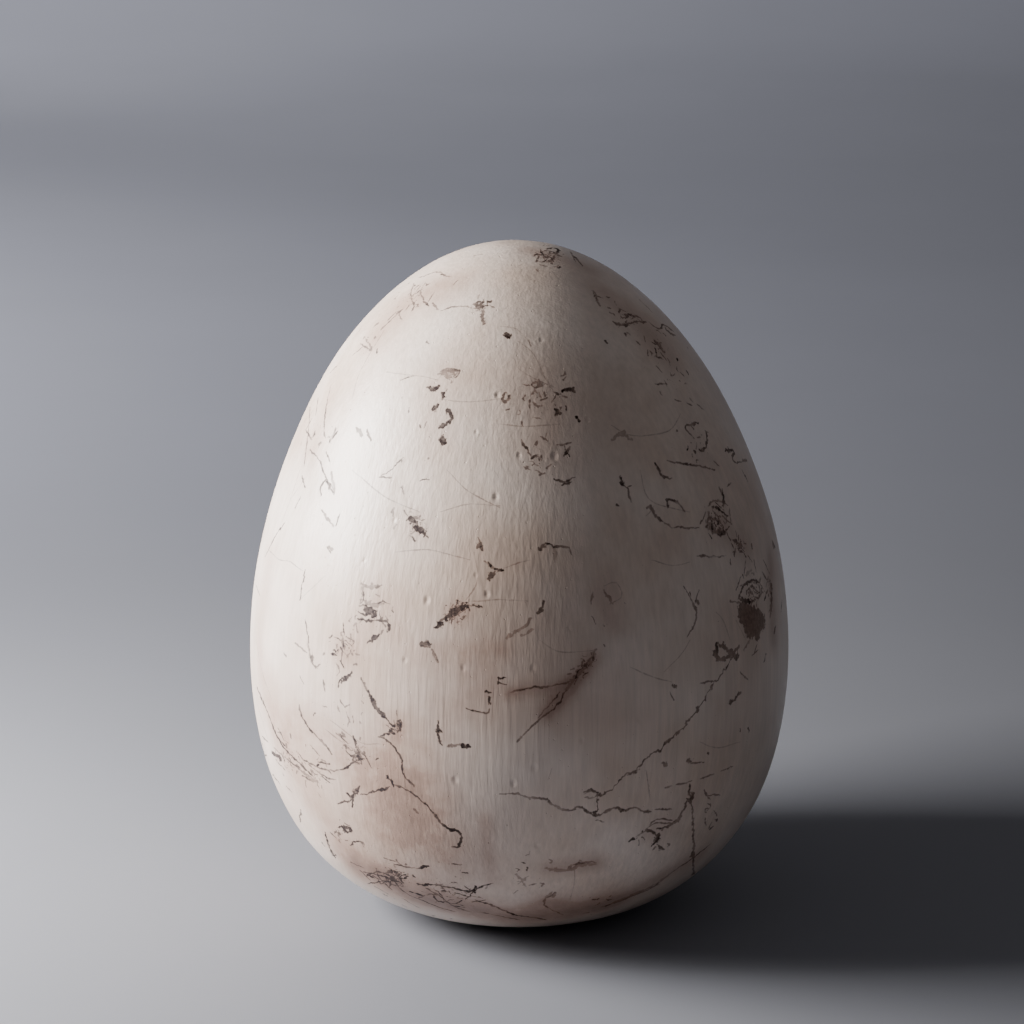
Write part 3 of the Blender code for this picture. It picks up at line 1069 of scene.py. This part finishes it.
def softMarks(egg, camera, surface, blots, specks, smoke):
    # Blots, specks and smoke vary slowly enough to sit on the mesh points
    points = meshPoints(egg.data) / mm
    pixelSize = photoCamera["distance"] / focalPixels / mm
    for pixels, radius, ink in blotsSeen:
        blots.append((pixelSpot(camera, surface, pixels), radius * pixelSize, ink))
    for x, y, radius, strength in specksSeen:
        specks.append((pixelSpot(camera, surface, [(x, y)]), radius * pixelSize, strength))
    for pixels, radius, strength in smokeSeen:
        smoke.append((pixelSpot(camera, surface, pixels), radius * pixelSize, strength))

    def gapTo(places):
        places = [places] if isinstance(places, Vector) else [p for p in places if p is not None]
        gap = np.full(len(points), softReach["far"])
        for place in places:
            gap = np.minimum(gap, np.linalg.norm(points - np.array(place) / mm, axis=1))
        return gap

    depth = np.full(len(points), softReach["noBlot"])
    blotInk = np.zeros(len(points))
    for places, radius, ink in blots:
        inside = radius - gapTo(places)
        nearer = inside > depth
        depth[nearer] = inside[nearer]
        blotInk[nearer] = ink
    cloud = np.zeros(len(points))
    for places, radius, strength in smoke:
        cloud += strength * np.exp(-((gapTo(places) / radius) ** 2))
    dust = np.zeros(len(points))
    for places, radius, strength in specks:
        dust = np.maximum(dust, strength * np.exp(-((gapTo(places) / radius) ** 2)))
    for name, values in (("blotDepth", depth), ("blotInk", blotInk), ("smoke", cloud), ("specks", dust)):
        egg.data.attributes.new(name, "FLOAT", "POINT").data.foreach_set("value", values)


# Materials

def colour(code):
    # sRGB hex to the linear values that the shader wants
    parts = [int(code[i:i + 2], 16) / 255 for i in (1, 3, 5)]
    return [c / 12.92 if c <= 0.04045 else ((c + 0.055) / 1.055) ** 2.4 for c in parts] + [1]


def addNode(tree, kind, settings=None, links=None):
    node = tree.nodes.new(kind)
    for name, value in (settings or {}).items():
        if isinstance(name, int) or name in node.inputs:
            node.inputs[name].default_value = value
        else:
            setattr(node, name, value)
    for name, source in (links or {}).items():
        tree.links.new(source, node.inputs[name])
    return node


# Settings of the nodes. A noise has a Scale of 1 over its size in mm. In a range, 1 and 2 are the values
# that come in, and 3 and 4 are what they become, 0 and 1 if not given
clayLook = {
    "ivory": "#EADACE",  # burnished pale clay
    "bone": "#D8C2B2",  # its darker patches
    "patches": {"Scale": 1 / 26.0, "Detail": 3.0},
    "ivoryToBone": {1: 0.38, 2: 0.68},
    "ior": 1.50,  # fired clay, closed by burnishing
    "roughness": {1: 0.3, 2: 0.7, 3: 0.30, 4: 0.41},  # from streak to streak
    "carbonRoughness": {"operation": "MULTIPLY_ADD", 1: 0.25},  # more on full carbon
    "gloss": {3: 0.5, 4: 0.06},  # specular level of bare clay and of full carbon
}
# Fine upright strokes of the burnishing stone
streakLook = {
    "width": 1.2,  # mm from streak to streak
    "length": 22.0,
    "depth": 0.12,  # mm, as bump, because the faces of the mesh are nearly as wide as a streak
    "streaks": {"Scale": 1.0, "Detail": 3.0, "Roughness": 0.6},
    "tone": {1: 0.30, 2: 0.70, 3: 0.90, 4: 1.03},
    "toBands": {"operation": "SCALE", "Scale": 0.27},  # width of a streak to a broader band's
    "bands": {"Scale": 1.0, "Detail": 2.0},
    "bandTone": {1: 0.30, 2: 0.70, 3: 0.955, 4: 1.02},
    "pores": {"Scale": 1 / 2.6},
    "poreRim": {"interpolation_type": "SMOOTHSTEP", 1: 0.03, 2: 0.10},
    "poreRelief": {"operation": "MULTIPLY_ADD", 1: 0.6},  # to the relief of the streaks
}
smokeLook = {
    "thin": "#A98A7B",  # greyish brown of light smoke
    "thinShare": {1: 0.0, 2: 0.8, 4: 0.85},
    "thick": "#654B41",  # where it has built up
    "thickShare": {1: 0.7, 2: 1.7, 4: 0.75},
    "mottle": {"Scale": 1 / 5.0, "Detail": 4.0, "Roughness": 0.62},
    "breakUp": {1: 0.32, 2: 0.66, 3: 0.78, 4: 1.20},
}
carbonLook = {
    "scorch": "#66402F",  # thin or faint marks
    "carbon": "#2C1A14",  # full marks
    "scorchToCarbon": {1: 0.50, 2: 0.92},
    # marks on the left flank look greyer in the photograph. The cause isn't known
    "litSheenGrey": "#413A3B",  # painted sheen: marks on the lit left flank are made lighter and greyer
    "litSheenShare": {1: 0.000, 2: -0.032, 4: 0.9},  # by metres across, from the egg's middle to its lit left side, how much of the painted sheen the marks take
    "ragged": {"Scale": 1 / 0.9, "Detail": 2.0, "Roughness": 0.6},  # frays all edges
    "coarse": {"Scale": 1 / 1.4, "Detail": 1.0},  # kinks the lines and lobes the blots
    "centred": {"operation": "SUBTRACT", 1: 0.5},
    "fray": {"operation": "MULTIPLY_ADD", 1: 3.0, 2: 1.0},  # of a line's half width
    "lineEdge": {"interpolation_type": "SMOOTHSTEP", 1: -0.14, 2: 0.11},  # mm inside the edge
    "blotLobes": {"operation": "MULTIPLY_ADD", 1: 2.6},  # mm
    "blotFray": {"operation": "MULTIPLY_ADD", 1: 1.6},  # mm
    "blotEdge": {"interpolation_type": "SMOOTHSTEP", 1: -0.18, 2: 0.22},  # mm inside the edge
    "dust": {"Scale": 1 / 0.8, "Detail": 2.0, "Roughness": 0.7},
    "dustLift": {"operation": "MULTIPLY_ADD", 1: 0.26},  # how far a cluster of specks lifts the noise
    "dustEdge": {"interpolation_type": "SMOOTHSTEP", 1: 0.75, 2: 0.81},
    "dustInk": {"operation": "MULTIPLY", 1: 0.8},
    "worn": {1: 0.35, 2: 0.62, 3: 0.84, 4: 1.0},
}


def clayColour(tree, inMm, grain, streaks):
    # Ivory and bone in broad patches, toned by the streaks and by broader bands
    patches = addNode(tree, "ShaderNodeTexNoise", clayLook["patches"], {0: inMm}).outputs[0]
    toBone = addNode(tree, "ShaderNodeMapRange", clayLook["ivoryToBone"], {0: patches}).outputs[0]
    clays = {"data_type": "RGBA", 6: colour(clayLook["ivory"]), 7: colour(clayLook["bone"])}
    base = addNode(tree, "ShaderNodeMix", clays, {0: toBone}).outputs[2]
    wideGrain = addNode(tree, "ShaderNodeVectorMath", streakLook["toBands"], {0: grain}).outputs[0]
    bands = addNode(tree, "ShaderNodeTexNoise", streakLook["bands"], {0: wideGrain}).outputs[0]
    streakTone = addNode(tree, "ShaderNodeMapRange", streakLook["tone"], {0: streaks}).outputs[0]
    bandTone = addNode(tree, "ShaderNodeMapRange", streakLook["bandTone"], {0: bands}).outputs[0]
    tone = addNode(tree, "ShaderNodeMath", {"operation": "MULTIPLY"}, {0: streakTone, 1: bandTone}).outputs[0]
    return addNode(tree, "ShaderNodeVectorMath", {"operation": "SCALE"}, {0: base, "Scale": tone}).outputs[0]


def smokeStained(tree, inMm, base):
    # Smoke stains, broken up by the mottling of the clay
    mottle = addNode(tree, "ShaderNodeTexNoise", smokeLook["mottle"], {0: inMm}).outputs[0]
    breakUp = addNode(tree, "ShaderNodeMapRange", smokeLook["breakUp"], {0: mottle}).outputs[0]
    smoke = addNode(tree, "ShaderNodeAttribute", {"attribute_name": "smoke"}).outputs["Fac"]
    smoke = addNode(tree, "ShaderNodeMath", {"operation": "MULTIPLY"}, {0: smoke, 1: breakUp}).outputs[0]
    for stain in ("thin", "thick"):
        share = addNode(tree, "ShaderNodeMapRange", smokeLook[stain + "Share"], {0: smoke}).outputs[0]
        over = {"data_type": "RGBA", 7: colour(smokeLook[stain])}
        base = addNode(tree, "ShaderNodeMix", over, {0: share, 6: base}).outputs[2]
    return base


def lineCarbon(tree, name, raggedMid, coarseMid):
    # One of the two marks of each face, from its attributes
    line = addNode(tree, "ShaderNodeAttribute", {"attribute_name": "markLine" + name}).outputs["Vector"]
    parts = addNode(tree, "ShaderNodeSeparateXYZ", None, {0: line}).outputs
    look = addNode(tree, "ShaderNodeAttribute", {"attribute_name": "markLook" + name}).outputs["Vector"]
    lookParts = addNode(tree, "ShaderNodeSeparateXYZ", None, {0: look}).outputs
    ink = lookParts[0]
    kink = lookParts[1]
    sway = addNode(tree, "ShaderNodeMath", {"operation": "MULTIPLY"}, {0: coarseMid, 1: kink}).outputs[0]
    offset = addNode(tree, "ShaderNodeMath", {"operation": "ADD"}, {0: sway, 1: parts[0]}).outputs[0]
    beyond = addNode(tree, "ShaderNodeMath", {"operation": "MINIMUM", 1: 0.0}, {0: parts[1]}).outputs[0]
    flat = addNode(tree, "ShaderNodeCombineXYZ", None, {0: offset, 1: beyond}).outputs[0]
    away = addNode(tree, "ShaderNodeVectorMath", {"operation": "LENGTH"}, {0: flat}).outputs["Value"]
    fray = addNode(tree, "ShaderNodeMath", carbonLook["fray"], {0: raggedMid}).outputs[0]
    half = addNode(tree, "ShaderNodeMath", {"operation": "MULTIPLY"}, {0: fray, 1: parts[2]}).outputs[0]
    depth = addNode(tree, "ShaderNodeMath", {"operation": "SUBTRACT"}, {0: half, 1: away}).outputs[0]
    inside = addNode(tree, "ShaderNodeMapRange", carbonLook["lineEdge"], {0: depth}).outputs[0]
    return addNode(tree, "ShaderNodeMath", {"operation": "MULTIPLY"}, {0: inside, 1: ink}).outputs[0]


def blotCarbon(tree, raggedMid, coarseMid):
    depth = addNode(tree, "ShaderNodeAttribute", {"attribute_name": "blotDepth"}).outputs["Fac"]
    edge = addNode(tree, "ShaderNodeMath", carbonLook["blotLobes"], {0: coarseMid, 2: depth}).outputs[0]
    edge = addNode(tree, "ShaderNodeMath", carbonLook["blotFray"], {0: raggedMid, 2: edge}).outputs[0]
    inside = addNode(tree, "ShaderNodeMapRange", carbonLook["blotEdge"], {0: edge}).outputs[0]
    ink = addNode(tree, "ShaderNodeAttribute", {"attribute_name": "blotInk"}).outputs["Fac"]
    return addNode(tree, "ShaderNodeMath", {"operation": "MULTIPLY"}, {0: inside, 1: ink}).outputs[0]


def dustCarbon(tree, inMm):
    specks = addNode(tree, "ShaderNodeAttribute", {"attribute_name": "specks"}).outputs["Fac"]
    dust = addNode(tree, "ShaderNodeTexNoise", carbonLook["dust"], {0: inMm}).outputs[0]
    dust = addNode(tree, "ShaderNodeMath", carbonLook["dustLift"], {0: specks, 2: dust}).outputs[0]
    dust = addNode(tree, "ShaderNodeMapRange", carbonLook["dustEdge"], {0: dust}).outputs[0]
    return addNode(tree, "ShaderNodeMath", carbonLook["dustInk"], {0: dust}).outputs[0]


def carbonAmount(tree, inMm):
    # How much carbon lies at each place. All its kinds share the ragged edge
    ragged = addNode(tree, "ShaderNodeTexNoise", carbonLook["ragged"], {0: inMm}).outputs[0]
    raggedMid = addNode(tree, "ShaderNodeMath", carbonLook["centred"], {0: ragged}).outputs[0]
    coarse = addNode(tree, "ShaderNodeTexNoise", carbonLook["coarse"], {0: inMm}).outputs[0]
    coarseMid = addNode(tree, "ShaderNodeMath", carbonLook["centred"], {0: coarse}).outputs[0]
    carbon = lineCarbon(tree, "A", raggedMid, coarseMid)
    others = [
        lineCarbon(tree, "B", raggedMid, coarseMid), blotCarbon(tree, raggedMid, coarseMid),
        dustCarbon(tree, inMm),
    ]
    for other in others:
        carbon = addNode(tree, "ShaderNodeMath", {"operation": "MAXIMUM"}, {0: carbon, 1: other}).outputs[0]
    worn = addNode(tree, "ShaderNodeMapRange", carbonLook["worn"], {0: ragged}).outputs[0]
    return addNode(tree, "ShaderNodeMath", {"operation": "MULTIPLY"}, {0: carbon, 1: worn}).outputs[0]


def carbonColour(tree, place, carbon):
    burnt = addNode(tree, "ShaderNodeMapRange", carbonLook["scorchToCarbon"], {0: carbon}).outputs[0]
    inks = {"data_type": "RGBA", 6: colour(carbonLook["scorch"]), 7: colour(carbonLook["carbon"])}
    inkColour = addNode(tree, "ShaderNodeMix", inks, {0: burnt}).outputs[2]
    # Marks towards the lit left flank are mixed towards grey: painted sheen
    across = addNode(tree, "ShaderNodeSeparateXYZ", None, {0: place}).outputs[0]
    sheenOnLitSide = addNode(tree, "ShaderNodeMapRange", carbonLook["litSheenShare"], {0: across}).outputs[0]
    paintedSheenGreys = {"data_type": "RGBA", 7: colour(carbonLook["litSheenGrey"])}
    return addNode(tree, "ShaderNodeMix", paintedSheenGreys, {0: sheenOnLitSide, 6: inkColour}).outputs[2]


def burnishedClay():
    # Burnished smoke-fired earthenware: pale satin face with upright stone strokes, carbon burnt into it
    material = bpy.data.materials.new("burnished smoke-fired earthenware")
    material.use_nodes = True
    tree = material.node_tree
    shader = tree.nodes["Principled BSDF"]
    place = addNode(tree, "ShaderNodeTexCoord").outputs["Object"]
    toMm = {"operation": "SCALE", "Scale": 1 / mm}
    inMm = addNode(tree, "ShaderNodeVectorMath", toMm, {0: place}).outputs[0]
    # Fine across, long down the wall
    grainScale = (1 / streakLook["width"], 1 / streakLook["width"], 1 / streakLook["length"])
    stretch = {"operation": "MULTIPLY", 1: grainScale}
    grain = addNode(tree, "ShaderNodeVectorMath", stretch, {0: inMm}).outputs[0]
    streaks = addNode(tree, "ShaderNodeTexNoise", streakLook["streaks"], {0: grain}).outputs[0]

    clay = smokeStained(tree, inMm, clayColour(tree, inMm, grain, streaks))
    carbon = carbonAmount(tree, inMm)
    ink = carbonColour(tree, place, carbon)
    face = addNode(tree, "ShaderNodeMix", {"data_type": "RGBA"}, {0: carbon, 6: clay, 7: ink}).outputs[2]
    tree.links.new(face, shader.inputs["Base Color"])

    # Satin, varied by the streaks, and duller on the carbon
    rough = addNode(tree, "ShaderNodeMapRange", clayLook["roughness"], {0: streaks}).outputs[0]
    rough = addNode(tree, "ShaderNodeMath", clayLook["carbonRoughness"], {0: carbon, 2: rough}).outputs[0]
    tree.links.new(rough, shader.inputs["Roughness"])
    gloss = addNode(tree, "ShaderNodeMapRange", clayLook["gloss"], {0: carbon}).outputs[0]
    tree.links.new(gloss, shader.inputs["Specular IOR Level"])
    shader.inputs["IOR"].default_value = clayLook["ior"]
    shader.inputs["Metallic"].default_value = 0.0

    # Streaks and pinholes as bump
    pores = addNode(tree, "ShaderNodeTexVoronoi", streakLook["pores"], {"Vector": inMm}).outputs["Distance"]
    pores = addNode(tree, "ShaderNodeMapRange", streakLook["poreRim"], {0: pores}).outputs[0]
    relief = addNode(tree, "ShaderNodeMath", streakLook["poreRelief"], {0: pores, 2: streaks}).outputs[0]
    depth = {"Strength": 1.0, "Distance": streakLook["depth"] * mm}
    bump = addNode(tree, "ShaderNodeBump", depth, {"Height": relief})
    tree.links.new(bump.outputs["Normal"], shader.inputs["Normal"])
    return material


# Floor and light

studio = {
    "flatRadius": 1.7,  # metres of level floor round the egg
    "rimSides": 128,
    "rimSteps": 10,
    "rimReach": 0.9,  # metres that the floor sweeps out and up beyond it
    "paper": "#75777E",
    "paperRoughness": 0.8,
    "cloud": {"Scale": 5.0, "Detail": 4.0},  # for each metre
    "cloudTone": {1: 0.3, 2: 0.7, 3: 0.975, 4: 1.02},
    "world": "#A8A6A9",
    "worldStrength": 0.39,
}
# Soft boxes: place and size in metres, watts. Each is aimed at the egg's middle or at its own aim
softBoxes = {
    # Near and small, it lights the left flank and throws the shadow
    "keyLeft": {"place": (-0.357, -0.014, 0.213), "size": (0.22, 0.20), "watts": 7.2, "tint": "#FFFCF9"},
    # A trace of light for the dark side
    "fillRight": {"place": (1.07, 0.10, 0.62), "size": (0.8, 0.8), "watts": 0.08, "tint": "#F6F4FA"},
    # On the floor to the left, behind the egg
    "sweepLeft": {
        "place": (-1.01, 0.23, 0.44), "size": (0.6, 0.6), "watts": 39.0, "tint": "#FAF9FF",
        "aim": (-0.87, 0.63, 0), "spread": 123,
    },
    # On the floor far behind the egg
    "sweepFar": {
        "place": (-0.96, 1.65, 0.50), "size": (0.3, 0.3), "watts": 3.2, "tint": "#FAF9FF",
        "aim": (0.30, 2.0, 0), "spread": 80,
    },
}


def backdropPaper():
    # Matt paper, very faintly clouded
    paper = bpy.data.materials.new("matt backdrop paper")
    paper.use_nodes = True
    tree = paper.node_tree
    shader = tree.nodes["Principled BSDF"]
    place = addNode(tree, "ShaderNodeTexCoord").outputs["Object"]
    cloud = addNode(tree, "ShaderNodeTexNoise", studio["cloud"], {0: place}).outputs[0]
    tone = addNode(tree, "ShaderNodeMapRange", studio["cloudTone"], {0: cloud}).outputs[0]
    plain = {"operation": "SCALE", 0: colour(studio["paper"])[:3]}
    base = addNode(tree, "ShaderNodeVectorMath", plain, {"Scale": tone})
    tree.links.new(base.outputs[0], shader.inputs["Base Color"])
    shader.inputs["Roughness"].default_value = studio["paperRoughness"]
    return paper


def studioFloor():
    radius = studio["flatRadius"]
    bpy.ops.object.select_all(action="DESELECT")
    bpy.ops.mesh.primitive_circle_add(vertices=studio["rimSides"], radius=radius, fill_type="NGON")
    floor = bpy.context.object
    floor.name = "studioFloor"
    bpy.ops.object.mode_set(mode="EDIT")
    bpy.ops.mesh.select_mode(type="EDGE")
    bpy.ops.mesh.select_all(action="DESELECT")
    bpy.ops.mesh.select_non_manifold()
    rise = 0
    for step in range(1, studio["rimSteps"] + 1):
        angle = math.pi / 2 * step / studio["rimSteps"]
        newRadius = studio["flatRadius"] + studio["rimReach"] * math.sin(angle)
        newRise = studio["rimReach"] * (1 - math.cos(angle))
        bpy.ops.mesh.extrude_edges_move(TRANSFORM_OT_translate={"value": (0, 0, newRise - rise)})
        bpy.ops.transform.resize(value=(newRadius / radius, newRadius / radius, 1))
        radius = newRadius
        rise = newRise
    bpy.ops.object.mode_set(mode="OBJECT")
    floor.data.shade_smooth()
    floor.data.materials.append(backdropPaper())


def studioLight():
    middle = Vector((0, 0, eggHigh[2] / 2))
    for name, box in softBoxes.items():
        bpy.ops.object.light_add(type="AREA", location=box["place"])
        light = bpy.context.object
        light.name = name
        light.data.shape = "RECTANGLE"
        light.data.size, light.data.size_y = box["size"]
        light.data.energy = box["watts"]
        light.data.color = colour(box["tint"])[:3]
        light.data.spread = math.radians(box.get("spread", 180))
        aim = Vector(box.get("aim", middle))
        light.rotation_euler = (aim - Vector(box["place"])).to_track_quat("-Z", "Y").to_euler()
        light.visible_camera = False
    world = bpy.data.worlds.new("studioAir")
    world.use_nodes = True
    backdrop = world.node_tree.nodes["Background"]
    backdrop.inputs["Color"].default_value = colour(studio["world"])
    backdrop.inputs["Strength"].default_value = studio["worldStrength"]
    bpy.context.scene.world = world


print("Camera")
camera = placeCamera()

print("Egg body")
egg = eggSkin()
plainSurface = BVHTree.FromObject(egg, bpy.context.evaluated_depsgraph_get())
pits = pitList(camera, plainSurface)
refineRoundPits(egg, pits)
handFormed(egg, pits)
bpy.context.view_layer.update()
surface = BVHTree.FromObject(egg, bpy.context.evaluated_depsgraph_get())

print("Carbon marks")
blots, specks, smoke = [], [], []
frontLines(camera, surface)
flecksRoundSpecks(camera, surface)
marksInvented(camera, surface, blots, specks, smoke)
softMarks(egg, camera, surface, blots, specks, smoke)
inkFaces(egg)

print("Burnished clay")
egg.data.materials.append(burnishedClay())
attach(egg, "root")
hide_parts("egg")

print("Floor and light")
studioFloor()
studioLight()

print("Triangles", sum(len(face.vertices) - 2 for face in egg.data.polygons), "marks", len(strokes))
